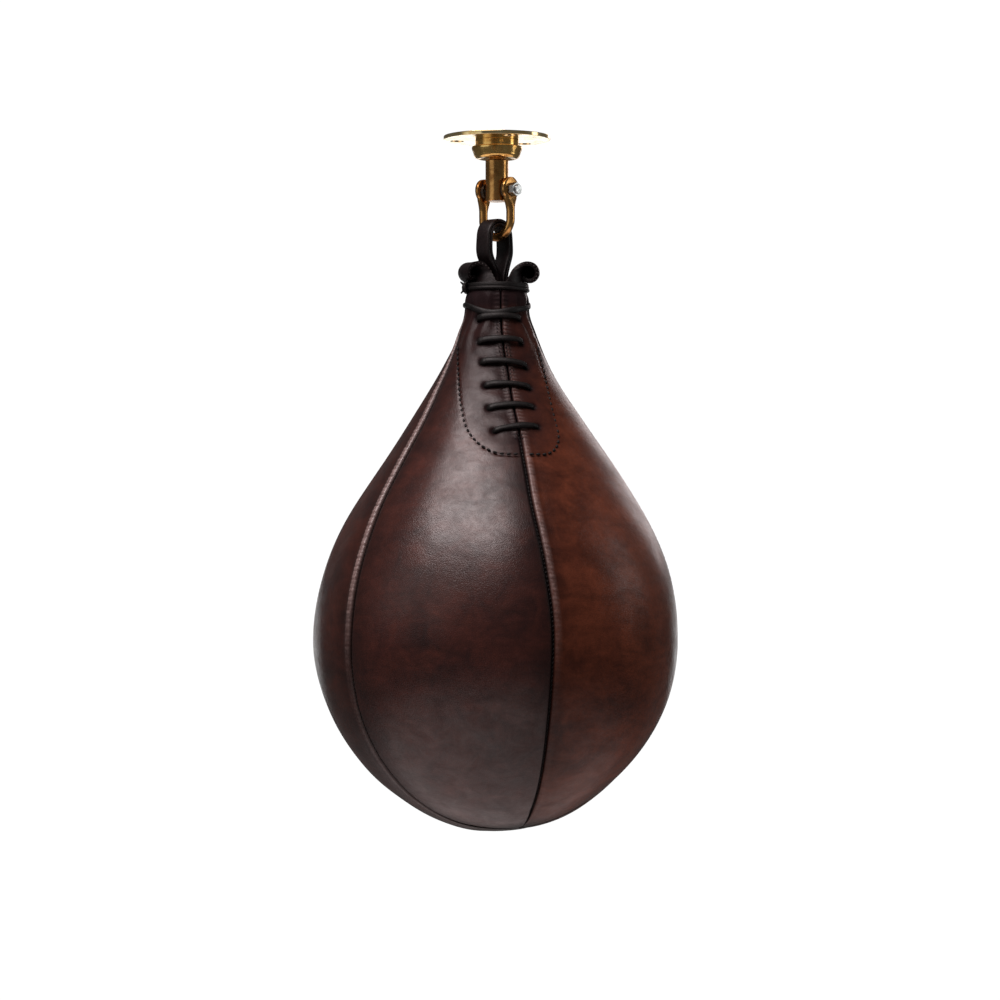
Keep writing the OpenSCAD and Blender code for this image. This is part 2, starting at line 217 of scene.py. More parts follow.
def resample(points, distances):
    """Points of a line at the given distances along it."""
    along = length_along(points)
    return np.stack([np.interp(distances, along, axis) for axis in points.T], -1)


def units(vectors):
    return vectors / np.maximum(np.linalg.norm(vectors, axis=-1, keepdims=True), 1e-12)


def tangents(line):
    return units(np.gradient(line, axis=0))


def arc_points(radius, turn, across=0.0, height=0.0):
    """Points of an arc round the centre (across, height)."""
    return np.stack([across + radius * np.cos(turn), height + radius * np.sin(turn)], -1)


def level_directions(azimuth):
    """Level unit vectors out from the axis and round it."""
    c, s = math.cos(azimuth), math.sin(azimuth)
    return np.array([c, s, 0]), np.array([-s, c, 0])


def ripple(points, size, seed):
    """Smooth numbers about -1 to 1 that change over a distance of size: a few crossed waves."""
    waves = np.random.default_rng(seed)
    total = 0
    for _ in range(6):
        direction = waves.normal(size=3)
        phase = waves.uniform(0, 2 * np.pi)
        total = total + np.sin(points @ (direction * 1.6 / size) + phase)
    return total / 3


# -------- meshes


def grid_faces(rows, cols, close_rows=False, close_cols=False):
    """Quads of a grid of points stored row by row."""
    row_starts = np.arange(rows - (not close_rows))
    i, j = np.meshgrid(row_starts, np.arange(cols - (not close_cols)), indexing="ij")
    next_i, next_j = (i + 1) % rows, (j + 1) % cols
    quads = np.stack([i * cols + j, next_i * cols + j, next_i * cols + next_j, i * cols + next_j], -1)
    return quads.reshape(-1, 4).tolist()


def sheet_solid(outer, inner):
    """A closed solid between two grids of points: (points, faces)."""
    rows, cols = outer.shape[:2]
    count = rows * cols
    faces = grid_faces(rows, cols)
    faces += [[count + k for k in reversed(face)] for face in faces]
    top = list(range(cols))
    bottom = [(rows - 1) * cols + k for k in range(cols)]
    left = [k * cols for k in range(rows)]
    right = [k * cols + cols - 1 for k in range(rows)]
    for rim, flip in ((top, False), (bottom, True), (left, True), (right, False)):
        for a, b in zip(rim, rim[1:]):
            quad = [a, b, count + b, count + a]
            faces.append(quad[::-1] if flip else quad)
    return np.concatenate([outer.reshape(-1, 3), inner.reshape(-1, 3)]), faces


def sweep(route, up, half_width, half_height, sides=12, square=1.0, closed=False):
    """A tube along a route. up is the direction of its height; square under 1 makes the section boxy.

    Its half sizes and squareness are numbers or one value for each point of the route.
    """
    if closed:
        tangent = units(np.roll(route, -1, 0) - np.roll(route, 1, 0))
    else:
        tangent = tangents(route)
    across = units(np.cross(tangent, up))
    height = np.cross(across, tangent)
    turn = np.arange(sides) * 2 * np.pi / sides
    count = len(route)
    square, half_width, half_height = (np.broadcast_to(size, count)[:, None]
                                       for size in (square, half_width, half_height))
    c, s = (np.sign(part) * np.abs(part) ** square for part in (np.cos(turn), np.sin(turn)))
    rings = route[:, None] + half_width[:, None] * across[:, None] * c[:, :, None]
    rings = rings + half_height[:, None] * height[:, None] * s[:, :, None]
    faces = grid_faces(count, sides, close_rows=closed, close_cols=True)
    if not closed:
        faces.append(list(range(sides)))
        faces.append([(count - 1) * sides + k for k in reversed(range(sides))])
    return rings.reshape(-1, 3), faces


def join(parts):
    """Several (points, faces) as one."""
    points, faces, start = [], [], 0
    for part_points, part_faces in parts:
        points.append(part_points)
        faces += [[start + k for k in face] for face in part_faces]
        start += len(part_points)
    return np.concatenate(points), faces


STITCH_TAPER = np.array([0.35, 0.85, 1.0, 0.85, 0.35])


def stitches(line, up, pitch, length, radius, lean=0.0):
    """Short rounded threads laid end to end along a line; lean turns each one across it, in metres."""
    along = length_along(line)
    tangent = tangents(line)
    side = units(np.cross(tangent, up))
    parts = []
    steps = np.linspace(-0.5, 0.5, len(STITCH_TAPER))
    for middle in np.arange(pitch / 2, along[-1] - pitch / 2, pitch):
        at = middle + steps * length
        route = resample(line, at) + steps[:, None] * 2 * lean * resample(side, at * 0 + middle)
        height = np.stack([np.interp(at, along, axis) for axis in up.T], -1)
        route = route + height * (0.35 * radius * np.cos(np.pi * steps))[:, None]
        parts.append(sweep(route, height, radius * STITCH_TAPER, radius * STITCH_TAPER, sides=6))
    return join(parts)


def piece(name, solid, material, body="bag", replaces=(), values=None):
    """Makes the Blender object of a (points, faces) solid and ties it to its CAD body, slot and nodes."""
    points, faces = solid
    mesh = bpy.data.meshes.new(name)
    mesh.from_pydata(points.tolist(), [], faces)
    mesh.polygons.foreach_set("use_smooth", [True] * len(faces))
    for attribute, numbers in (values or {}).items():
        mesh.attributes.new(attribute, "FLOAT", "POINT").data.foreach_set("value", numbers.ravel())
    mesh.materials.append(material)
    obj = bpy.data.objects.new(name, mesh)
    link(obj)
    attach(obj, body)
    if replaces:
        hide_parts(*replaces)
    return obj


def round_edges(obj, width, segments, angle):
    """Bevels the edges that are sharper than an angle."""
    rounded = obj.modifiers.new("round_edges", "BEVEL")
    rounded.width = width
    rounded.segments = segments
    rounded.limit_method = "ANGLE"
    rounded.angle_limit = angle


# -------- materials

# A Mix node has sockets of one name for every kind of value, so its colour sockets are found by number.
MIX_FACTOR, MIX_A, MIX_B, MIX_RESULT = 0, 6, 7, 2


class Nodes:
    """A small helper that adds nodes to a material and links them."""

    def __init__(self, name):
        self.material = bpy.data.materials.new(name)
        self.material.use_nodes = True
        self.tree = self.material.node_tree
        self.shader = self.tree.nodes["Principled BSDF"]
        self.place = self.add("ShaderNodeTexCoord").outputs["Object"]

    def add(self, kind, **settings):
        made = self.tree.nodes.new(kind)
        for name, value in settings.items():
            setattr(made, name, value)
        return made

    def plug(self, socket, value):
        """Links another node's output to a socket, or sets the socket to a plain value."""
        if isinstance(value, bpy.types.NodeSocket):
            self.tree.links.new(value, socket)
        else:
            socket.default_value = value

    def feed(self, node, **inputs):
        for name, value in inputs.items():
            self.plug(node.inputs[name.replace("_", " ")], value)
        return node

    def stretched(self, x, y, z):
        mapping = self.feed(self.add("ShaderNodeMapping"), Vector=self.place, Scale=(x, y, z))
        return mapping.outputs["Vector"]

    def noise(self, size, detail=4.0, rough=0.55, warp=0.0, vector=None):
        """Noise whose features are about size metres across, from 0 to 1."""
        node = self.feed(self.add("ShaderNodeTexNoise"), Vector=vector or self.place, Scale=1 / size,
                         Detail=detail, Roughness=rough, Distortion=warp)
        return node.outputs["Fac"]

    def cell_edges(self, size, vector=None):
        """Distance from the edges of cells that are about size metres across, as a share of that size."""
        node = self.feed(self.add("ShaderNodeTexVoronoi", feature="DISTANCE_TO_EDGE"),
                         Vector=vector or self.place, Scale=1 / size)
        return node.outputs["Distance"]

    def remap(self, value, low, high, to_low=0.0, to_high=1.0):
        node = self.feed(self.add("ShaderNodeMapRange"), Value=value, From_Min=low, From_Max=high,
                         To_Min=to_low, To_Max=to_high)
        return node.outputs["Result"]

    def math(self, operation, a, b):
        node = self.add("ShaderNodeMath", operation=operation)
        self.plug(node.inputs[0], a)
        self.plug(node.inputs[1], b)
        return node.outputs["Value"]

    def times(self, a, b):
        return self.math("MULTIPLY", a, b)

    def mix(self, share, a, b, blend="MIX"):
        node = self.add("ShaderNodeMix", data_type="RGBA", blend_type=blend)
        self.plug(node.inputs[MIX_FACTOR], share)
        for number, colour in ((MIX_A, a), (MIX_B, b)):
            self.plug(node.inputs[number], (*colour, 1) if isinstance(colour, tuple) else colour)
        return node.outputs[MIX_RESULT]

    def value_of(self, attribute):
        return self.add("ShaderNodeAttribute", attribute_name=attribute).outputs["Fac"]

    def bump(self, height, distance, strength=1.0, normal=None):
        node = self.feed(self.add("ShaderNodeBump"), Height=height, Distance=distance, Strength=strength)
        if normal:
            self.plug(node.inputs["Normal"], normal)
        return node.outputs["Normal"]

    def finish(self, **inputs):
        self.feed(self.shader, **inputs)
        return self.material


def leather_grain(m):
    """Grain cells with creases between them, wrinkles, and slow unevenness."""
    cell = 1.0 * MM
    depth = 0.04 * MM
    warped = m.add("ShaderNodeVectorMath", operation="ADD")
    wander = m.feed(m.add("ShaderNodeTexNoise"), Vector=m.place, Scale=1 / (4 * MM))
    shift = m.add("ShaderNodeVectorMath", operation="SCALE")
    m.plug(shift.inputs["Scale"], 0.9 * MM)
    m.plug(shift.inputs[0], wander.outputs["Color"])
    m.plug(warped.inputs[0], m.place)
    m.plug(warped.inputs[1], shift.outputs["Vector"])
    edges = m.cell_edges(cell, warped.outputs["Vector"])
    grain = m.bump(m.remap(edges, 0.0, 0.25), depth, 0.7)
    wrinkles = m.noise(2.6 * MM, 6, 0.6, 1.2, m.stretched(1, 1, 1.4))
    wrinkled = m.bump(wrinkles, 0.11 * MM, 0.45, grain)
    return m.bump(m.noise(11 * MM, 5, 0.6), 0.45 * MM, 0.3, wrinkled)


# Lightened ridges: worn leather that also stands for a painted highlight.
WORN_AND_LIT_TONE = (0.23, 0.165, 0.155)
# Painted shade: near-black in the seam creases, beside the seams and in the lace holes.
SEAM_SHADE_TONE = (0.0045, 0.003, 0.003)
# Painted shade on the neck above the lower tie, also used for the darker patch inside the U.
NECK_SHADE_AND_U_TONE = (0.013, 0.008, 0.009)
SCUFF_TONE = (0.09, 0.045, 0.036)


def hide(name, dark, body, glow, gloss):
    """Hand-dyed leather: blotches of three tones, painted shade in seams and on the neck, ridges worn and
    painted lit, semi-gloss.
    """
    m = Nodes(name)
    clouds = m.remap(m.noise(60 * MM, 3, 0.5, 0.8), 0.36, 0.66)
    blotches = m.remap(m.noise(17 * MM, 6, 0.62, 1.0), 0.35, 0.7)
    tone = m.mix(clouds, dark, body)
    tone = m.mix(m.times(blotches, 0.55), tone, glow)
    speckle = m.remap(m.noise(2.2 * MM, 5, 0.65), 0.3, 0.75, 0.80, 1.12)
    streaks = m.remap(m.noise(12 * MM, 5, 0.6, 0.6, m.stretched(0.5, 0.5, 1.6)), 0.35, 0.7, 0.72, 1.2)
    shade = m.times(speckle, streaks)
    grey = m.feed(m.add("ShaderNodeCombineColor"), Red=shade, Green=shade, Blue=shade).outputs["Color"]
    tone = m.mix(1.0, tone, grey, "MULTIPLY")
    # Ridges and slit puckers lightened: wear and a painted highlight.
    rubbed = m.times(m.value_of("wear_and_highlight"), m.remap(m.noise(1.6 * MM, 4, 0.6), 0.32, 0.6, 0.35, 1.0))
    tone = m.mix(m.times(rubbed, 0.85), tone, WORN_AND_LIT_TONE)
    # Painted shade: near-black in the seam creases, beside the seams and in the lace holes.
    tone = m.mix(m.value_of("seam"), tone, SEAM_SHADE_TONE)
    # Painted shade on the neck, and a darker patch inside the U.
    tone = m.mix(m.value_of("neck_shade_and_u_dark"), tone, NECK_SHADE_AND_U_TONE)
    scuffs = m.remap(m.noise(7 * MM, 8, 0.75, 2.0, m.stretched(1, 1, 0.35)), 0.62, 0.8)
    tone = m.mix(m.times(scuffs, 0.3), tone, SCUFF_TONE)
    wax = m.remap(m.noise(13 * MM, 9, 0.76, 0.5, m.stretched(1, 1, 1.3)), 0.37, 0.63)
    roughness = m.remap(wax, 0, 1, 0.28, 0.38)
    # Where shade is painted, the reflection is dimmed too.
    dull_seam = m.times(m.value_of("seam"), 0.85)
    dull_neck_shade = m.times(m.value_of("neck_shade_and_u_dark"), 0.8)
    shine = m.remap(m.math("ADD", dull_seam, dull_neck_shade), 0, 1, 1.0, 0.08)
    level = m.times(m.remap(wax, 0, 1, gloss, 0.66 * gloss), shine)
    return m.finish(Base_Color=tone, Roughness=roughness, Specular_IOR_Level=level, Normal=leather_grain(m))


def dark_leather(name, base, worn, rough, gloss):
    """Near-black strap and lace leather, a little worn in scattered spots."""
    m = Nodes(name)
    wear = m.remap(m.noise(2.4 * MM, 6, 0.7, 0.8), 0.45, 0.75)
    tone = m.mix(wear, base, worn)
    grain = m.bump(m.cell_edges(0.7 * MM), 0.06 * MM, 0.6)
    creases = m.bump(m.noise(1.6 * MM, 6, 0.65, 1.5), 0.25 * MM, 0.6, grain)
    roughness = m.remap(m.noise(3 * MM, 4), 0.3, 0.7, rough - 0.06, rough + 0.1)
    return m.finish(Base_Color=tone, Roughness=roughness, Specular_IOR_Level=gloss, Normal=creases)


def thread(name):
    """Waxed thread, twisted across its length."""
    m = Nodes(name)
    strands = m.noise(0.25 * MM, 2, 0.5, 0.5)
    tone = m.mix(strands, (0.003, 0.0025, 0.0025), (0.012, 0.009, 0.009))
    roughness = m.remap(strands, 0.2, 0.8, 0.5, 0.75)
    return m.finish(Base_Color=tone, Specular_IOR_Level=0.2, Roughness=roughness,
                    Normal=m.bump(strands, 0.08 * MM, 0.8))


def brass(name, bright, dull, rough):
    """Old yellow metal: brown tarnish in clouds, bright where it has been rubbed, fine scratches."""
    m = Nodes(name)
    tarnish = m.remap(m.noise(7 * MM, 5, 0.6, 1.0), 0.4, 0.66)
    spots = m.remap(m.noise(1.3 * MM, 4, 0.6), 0.55, 0.75)
    tone = m.mix(tarnish, bright, dull)
    tone = m.mix(m.times(spots, 0.25), tone, (0.13, 0.05, 0.015))
    scratches = m.noise(0.8 * MM, 3, 0.6, 0.3, m.stretched(1, 1, 0.12))
    roughness = m.remap(tarnish, 0, 1, rough, rough + 0.12)
    uneven = m.bump(m.noise(5 * MM, 2), 0.06 * MM, 0.3)
    normal = m.bump(scratches, 0.004 * MM, 0.35, uneven)
    return m.finish(Base_Color=tone, Metallic=1.0, Roughness=roughness, Normal=normal)


def plated_steel(name, base, rough):
    """Zinc-plated or ground steel with a cloudy bloom and fine marks."""
    m = Nodes(name)
    bloom = m.noise(1.8 * MM, 5, 0.6)
    tone = m.mix(m.remap(bloom, 0.3, 0.7), base, tuple(0.62 * c for c in base))
    normal = m.bump(m.noise(0.4 * MM, 3, 0.6), 0.02 * MM, 0.5)
    return m.finish(Base_Color=tone, Metallic=1.0, Roughness=m.remap(bloom, 0.3, 0.7, rough, rough + 0.15),
                    Normal=normal)


def rubber(name):
    m = Nodes(name)
    bloom = m.noise(12 * MM, 5, 0.6)
    tone = m.mix(bloom, (0.02, 0.02, 0.021), (0.05, 0.048, 0.047))
    return m.finish(Base_Color=tone, Roughness=m.remap(bloom, 0.3, 0.7, 0.6, 0.8),
                    Normal=m.bump(m.noise(1 * MM, 4), 0.05 * MM, 0.6))


HIDE_LEFT = hide("hide_left", (0.016, 0.0048, 0.0044), (0.04, 0.0098, 0.007), (0.078, 0.0195, 0.012), 0.48)
HIDE_RIGHT = hide("hide_right", (0.042, 0.0102, 0.0056), (0.108, 0.027, 0.0118),
                  (0.166, 0.043, 0.0195), 0.26)
HIDE_SIDE = hide("hide_side", (0.016, 0.0048, 0.0042), (0.04, 0.0098, 0.0062), (0.07, 0.0175, 0.01), 0.5)
STRAP = dark_leather("strap_leather", (0.0036, 0.0017, 0.0019), (0.012, 0.006, 0.0065), 0.42, 0.20)
LACE = dark_leather("lace_leather_black", (0.0028, 0.0022, 0.0022), (0.008, 0.006, 0.006), 0.48, 0.20)
EDGE = dark_leather("cut_edge", (0.012, 0.009, 0.008), (0.045, 0.038, 0.034), 0.55, 0.4)
THREAD = thread("waxed_thread")
PALE_BRASS = brass("pale_brass", (0.93, 0.76, 0.42), (0.80, 0.56, 0.22), 0.11)
BRASS = brass("yellow_brass", (0.84, 0.54, 0.18), (0.56, 0.28, 0.07), 0.17)
BRONZE = brass("cast_bronze", (0.58, 0.31, 0.10), (0.32, 0.14, 0.04), 0.22)
ZINC = plated_steel("zinc_plate", (0.66, 0.68, 0.67), 0.24)
DARK_STEEL = plated_steel("dark_steel", (0.12, 0.10, 0.08), 0.35)
BEARING = plated_steel("bearing_steel_ground", (0.5, 0.5, 0.5), 0.18)
RUBBER = rubber("bladder_rubber")

# -------- the bag's surface

back_points = np.array([v.co[:] for v in nodes["panel_back"].data.vertices])
BELLY_Z = back_points[np.argmax(np.hypot(back_points[:, 0], back_points[:, 1])), 2]
BELLY_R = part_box("panel_side_right")[1].x
POLE_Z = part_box("panel_back")[0].z
SHOULDER = (18.2 * MM, -102 * MM)
SHOULDER_HANDLE = (31 * MM, -80 * MM)
HANDLE_UP = 72 * MM
HANDLE_DOWN = 53.3 * MM
POLE_HANDLE = 53 * MM
TIE_Z = (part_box("upper_neck_tie")[0].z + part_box("upper_neck_tie")[1].z) / 2

# The neck as (height, radius): the dent under the lower tie, a bulge, and the waist under the upper tie.
NECK = np.array([(-102, 18.2), (-98.5, 17.9), (-94.5, 17.6), (-91, 18.0), (-88.5, 16.8), (-85, 16.0),
                 (-82, 16.0)]) * MM
OUTLINE_STEP = 0.25 * MM
SMOOTHED_POINTS = 25


def bag_outline():
    """The bag's outline from the mouth to the pole: distance along it, radius, height and normal."""
    neck_z = np.linspace(TIE_Z + 2 * MM, SHOULDER[1], 60)
    neck = np.stack([through(neck_z, NECK), neck_z], -1)
    shoulder_end = (SHOULDER[0] + SHOULDER_HANDLE[0], SHOULDER[1] + SHOULDER_HANDLE[1])
    upper = bezier(SHOULDER, shoulder_end, (BELLY_R, BELLY_Z + HANDLE_UP), (BELLY_R, BELLY_Z), 600)
    belly_end = (BELLY_R, BELLY_Z - HANDLE_DOWN)
    lower = bezier((BELLY_R, BELLY_Z), belly_end, (POLE_HANDLE, POLE_Z), (0, POLE_Z), 600)
    line = np.concatenate([neck, upper[1:], lower[1:]])
    w = np.arange(0, length_along(line)[-1], OUTLINE_STEP)
    line = resample(line, w)
    window = np.ones(SMOOTHED_POINTS) / SMOOTHED_POINTS
    padded = [np.pad(axis, SMOOTHED_POINTS // 2, "edge") for axis in line.T]
    smoothed = np.stack([np.convolve(axis, window, "valid") for axis in padded], -1)
    near_neck = ease(line[:, 1], -150 * MM, -130 * MM)
    line = line + (smoothed - line) * near_neck[:, None]
    along = tangents(line)
    return w, line[:, 0], line[:, 1], -along[:, 1], along[:, 0]


W, R, Z, NORMAL_R, NORMAL_Z = bag_outline()
BELLY_W = W[np.argmax(R)]
POLAR = np.arctan2(R, BELLY_Z - Z)

# The seams meet a little in front of the lowest point.
POLE_TILT = 12.7 * DEG
POLE_AZIMUTH = -72 * DEG


def shift_pole(w, azimuth):
    """Turns the lower half of the surface in itself, so that its seams meet at the tilted pole."""
    polar = np.interp(w, W, POLAR)
    turn = POLE_TILT * (1 - ease(polar, 0, np.pi / 2))
    side = azimuth - POLE_AZIMUTH
    down, forward = np.cos(polar), np.sin(polar) * np.cos(side)
    across = np.sin(polar) * np.sin(side)
    new_down = down * np.cos(turn) - forward * np.sin(turn)
    new_forward = forward * np.cos(turn) + down * np.sin(turn)
    new_polar = np.arccos(np.clip(new_down, -1, 1))
    new_w = np.interp(-new_polar, -POLAR[W >= BELLY_W], W[W >= BELLY_W])
    new_azimuth = POLE_AZIMUTH + np.arctan2(across, new_forward)
    lower = w > BELLY_W
    return np.where(lower, new_w, w), np.where(lower, new_azimuth, azimuth)


def skin(w, azimuth, lift=0.0):
    """Points on the bag's outer surface, lifted along its normal."""
    w, azimuth = shift_pole(*np.broadcast_arrays(w, azimuth))
    r = radius_at(w) + np.interp(w, W, NORMAL_R) * lift
    z = height_at(w) + np.interp(w, W, NORMAL_Z) * lift
    return np.stack([r * np.cos(azimuth), r * np.sin(azimuth), z], -1)


def skin_normal(w, azimuth):
    return units(skin(w, azimuth, 1 * MM) - skin(w, azimuth, 0))


def w_at(z):
    """Distance down the outline of a height above the belly."""
    return np.interp(-z, -Z, W)


def below(w, start_z, end_z):
    """0 above one height, 1 below a lower one, smooth between."""
    return ease(w, w_at(start_z), w_at(end_z))


# Each seam's azimuth at the belly, and how far it turns aside at each height: (millimetres, degrees).
SEAMS = {
    "front": (-90, ((-283, 0), (-240, -1.8), (-205, -3.8), (-190, -3.9), (-170, -4.3), (-150, -6.0),
                    (-133, -6.6), (-119, -9.0), (-98, -10.0))),
    "right": (-18, ((-375, 7), (-340, 6), (-282, 2), (-200, 0), (-100, -6))),
    "back_right": (54, ((-200, 0), (-100, -6))),
    "back_left": (126, ((-200, 0), (-100, -6))),
    "left": (198, ((-389, -40), (-380, -26), (-365, -14), (-345, -6), (-315, 0), (-230, 3), (-187, 0.5),
                   (-150, -2.5), (-118, -13), (-100, -22))),
}


def radius_at(w):
    return np.interp(w, W, R)


def height_at(w):
    return np.interp(w, W, Z)


def seam_azimuth(name, w):
    base, aside = SEAMS[name]
    return (base + through(height_at(w) / MM, aside)) * DEG


def beside_slit(w, arc):
    """Azimuth at a distance to the right of the front seam."""
    return seam_azimuth("front", w) + arc / radius_at(w)


# -------- relief of the panels

ROW_STEP = 0.8 * MM
STITCH_PITCH = 2.45 * MM
FACING_PITCH = 3.8 * MM
SEAM_GAP = 0.3 * MM
SLIT_HALF = 0.25 * MM
SLIT_END_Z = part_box("seam_welt_front")[1].z
PANEL_T = 2.3 * MM
POLE_W = W[-1] - 1.6 * MM
UNDER_TIE_Z = -89 * MM
ROWS = np.linspace(0, POLE_W, round(POLE_W / ROW_STEP))
NEAR_SEAM = np.array([0, 0.4, 0.8, 1.3, 1.9, 2.6, 3.6, 5, 7, 10]) * MM
FULL_WIDTH = 50 * MM

RUNG_Z = np.array([-103.8, -117.2, -130.2, -143.2, -155.2, -167.4]) * MM
RUNG_TILT = np.array([0.3, 0.2, -2.2, -1.1, 0.8, 2.5]) * MM
U_END_Z = -181.7 * MM

# On each side of the slit (-1 is left), the distance of the lace holes from it.
HOLE_ARC = {-1: 14.3 * MM, 1: 11.5 * MM}

# The U of stitches round the lacing, on each side: its distance from the slit and its corner's radius.
U_SIDES = {-1: (29.5 * MM, 20 * MM), 1: (23.5 * MM, 13 * MM)}


def in_slit(w):
    """1 beside the open slit, 0 below its end."""
    return 1 - ease(w, w_at(SLIT_END_Z) - 2 * MM, w_at(SLIT_END_Z) + 4 * MM)


def boldness(w):
    """How strongly a seam stands out: most on the upper half of the bag."""
    return 1 - 0.85 * below(w, -235 * MM, -310 * MM)


def stitch_beat(w):
    """An angle that goes round once for each stitch."""
    return 2 * np.pi * w / STITCH_PITCH


def lip_shape(s, w, lip):
    """The puckered lip beside a seam, from 0 to about 1."""
    beat = stitch_beat(w)
    scallop = 0.80 + 0.15 * np.cos(beat) + 0.07 * np.sin(0.37 * beat + 1) + 0.06 * np.sin(0.61 * beat)
    middle = (1.5 + 0.9 * lip) * MM
    half_width = (1.0 + 0.8 * lip) * MM
    flat_top = np.exp(-(((s - middle) / half_width) ** 4))
    return lip * boldness(w) * scallop * flat_top


def seam_relief(s, w, scale, lip):
    """Height of the leather beside a seam: a narrow crease, a puckered lip, and a wide pull-in."""
    s = s / scale
    crease = -1.7 * MM * bell(s, 0, 0.8 * MM)
    pull = -0.9 * MM * np.exp(-s / (9 * MM))
    return (crease + 0.95 * MM * lip_shape(s, w, lip) + pull) * scale


def slit_relief(s, w):
    """The edge beside the slit, rounded and puckered by overcast stitches."""
    rounding = -1.1 * MM * bell(s, SLIT_HALF - 0.2 * MM, 0.5 * MM)
    beat = stitch_beat(w)
    uneven = np.cos(beat) + 0.45 * np.cos(1.71 * beat + 2) * np.cos(2 * np.pi * s / (2.6 * MM))
    pucker = 0.42 * MM * uneven * bell(s, 2.1 * MM, 1.4 * MM)
    gather = -0.30 * MM * bell(s, 4.2 * MM, 1.3 * MM)
    return rounding + pucker + gather


def u_distance(s, z, side):
    """Distance from the U-shaped stitch line round the lacing, negative inside it."""
    half, radius = U_SIDES[side]
    x = s - (half - radius)
    y = (U_END_Z + radius) - z
    return np.hypot(np.maximum(x, 0), np.maximum(y, 0)) + np.minimum(np.maximum(x, y), 0) - radius


def rung_height(i, side):
    return RUNG_Z[i] + side * RUNG_TILT[i] / 2


def hole_distances(s, z, side):
    return [np.hypot(s - HOLE_ARC[side], z - rung_height(i, side)) for i in range(len(RUNG_Z))]


def lacing_relief(s, w, z, side, width):
    """Dents at the lace holes, the sewn channel of the U, and slack wrinkles between the rungs."""
    in_lacing = ease(-z, 106 * MM, 116 * MM)
    above_end = 1 - ease(-z, 165 * MM, 175 * MM)
    channel = -0.28 * MM * bell(u_distance(s, z, side), 0, 0.9 * MM)
    channel = channel * (1 + 0.6 * np.cos(2 * np.pi * w / FACING_PITCH))
    total = channel * ease(width - s, 2 * MM, 6 * MM) * in_lacing
    for distance in hole_distances(s, z, side):
        total = total - 1.0 * MM * bell(distance, 0, 1.4 * MM) - 0.45 * MM * bell(distance, 0, 4.5 * MM)
    rung_beat = 2 * np.pi * (z - RUNG_Z[0]) / (RUNG_Z[0] - RUNG_Z[1])
    folds = 0.35 * MM * np.cos(rung_beat) * bell(s, 7 * MM, 6 * MM)
    return total - folds * in_lacing * above_end


def body_relief(points, w, azimuth):
    """Slow lumps all over and gathers below the ties."""
    lumps = 0.55 * MM * ripple(points, 38 * MM, 3) + 0.12 * MM * ripple(points, 10 * MM, 5)
    gathers = np.sin(azimuth * 13 + 2 * ripple(points, 20 * MM, 7))
    drawn_in = below(w, -88 * MM, -94 * MM) * (1 - below(w, -106 * MM, -135 * MM))
    return lumps * below(w, -100 * MM, -135 * MM) + 0.5 * MM * drawn_in * gathers


def column_distances(width, first_gap, last_gap, middle):
    """Arc distances of a panel's columns from its first seam, for every row: closer near the seams."""
    scale = np.minimum(1, width / FULL_WIDTH)[:, None]
    left = first_gap[:, None] + NEAR_SEAM * scale
    right = (width - last_gap)[:, None] - NEAR_SEAM[::-1] * scale
    share = np.linspace(0, 1, middle + 2)[1:-1]
    between = left[:, -1:] * (1 - share) + right[:, :1] * share
    return np.concatenate([left, between, right], 1)


def seam_marks(s, w, scale, lip, slit_share):
    """Beside one seam or slit: the leather's height, its painted shade, and its wear with a painted
    highlight.
    """
    lift = seam_relief(s, w, scale, lip) * (1 - slit_share) + slit_relief(s, w) * slit_share
    ridge = lip_shape(s / scale, w, lip)
    line_width = (1.9 - 1.15 * min(lip, 1)) * MM * scale
    line_width = line_width * (0.6 + 0.4 * boldness(w)) * (1 - 0.45 * slit_share)
    # Painted shade: a dark line along the crease, and a wide darkening beside a seam where no lip rises.
    line = 0.95 * bell(s, 0, line_width)
    shadow = 0.58 * np.exp(-s / (17 * MM)) * (1 - np.minimum(ridge, 1))
    # Wear and a painted highlight: the lip's ridge and the puckers beside the slit are lightened.
    puckers = (0.5 + 0.5 * np.cos(stitch_beat(w))) * bell(s, 2.3 * MM, 1.7 * MM)
    wear_and_highlight = ridge * (1 - slit_share) + 1.5 * slit_share * puckers
    return lift, line + shadow, wear_and_highlight


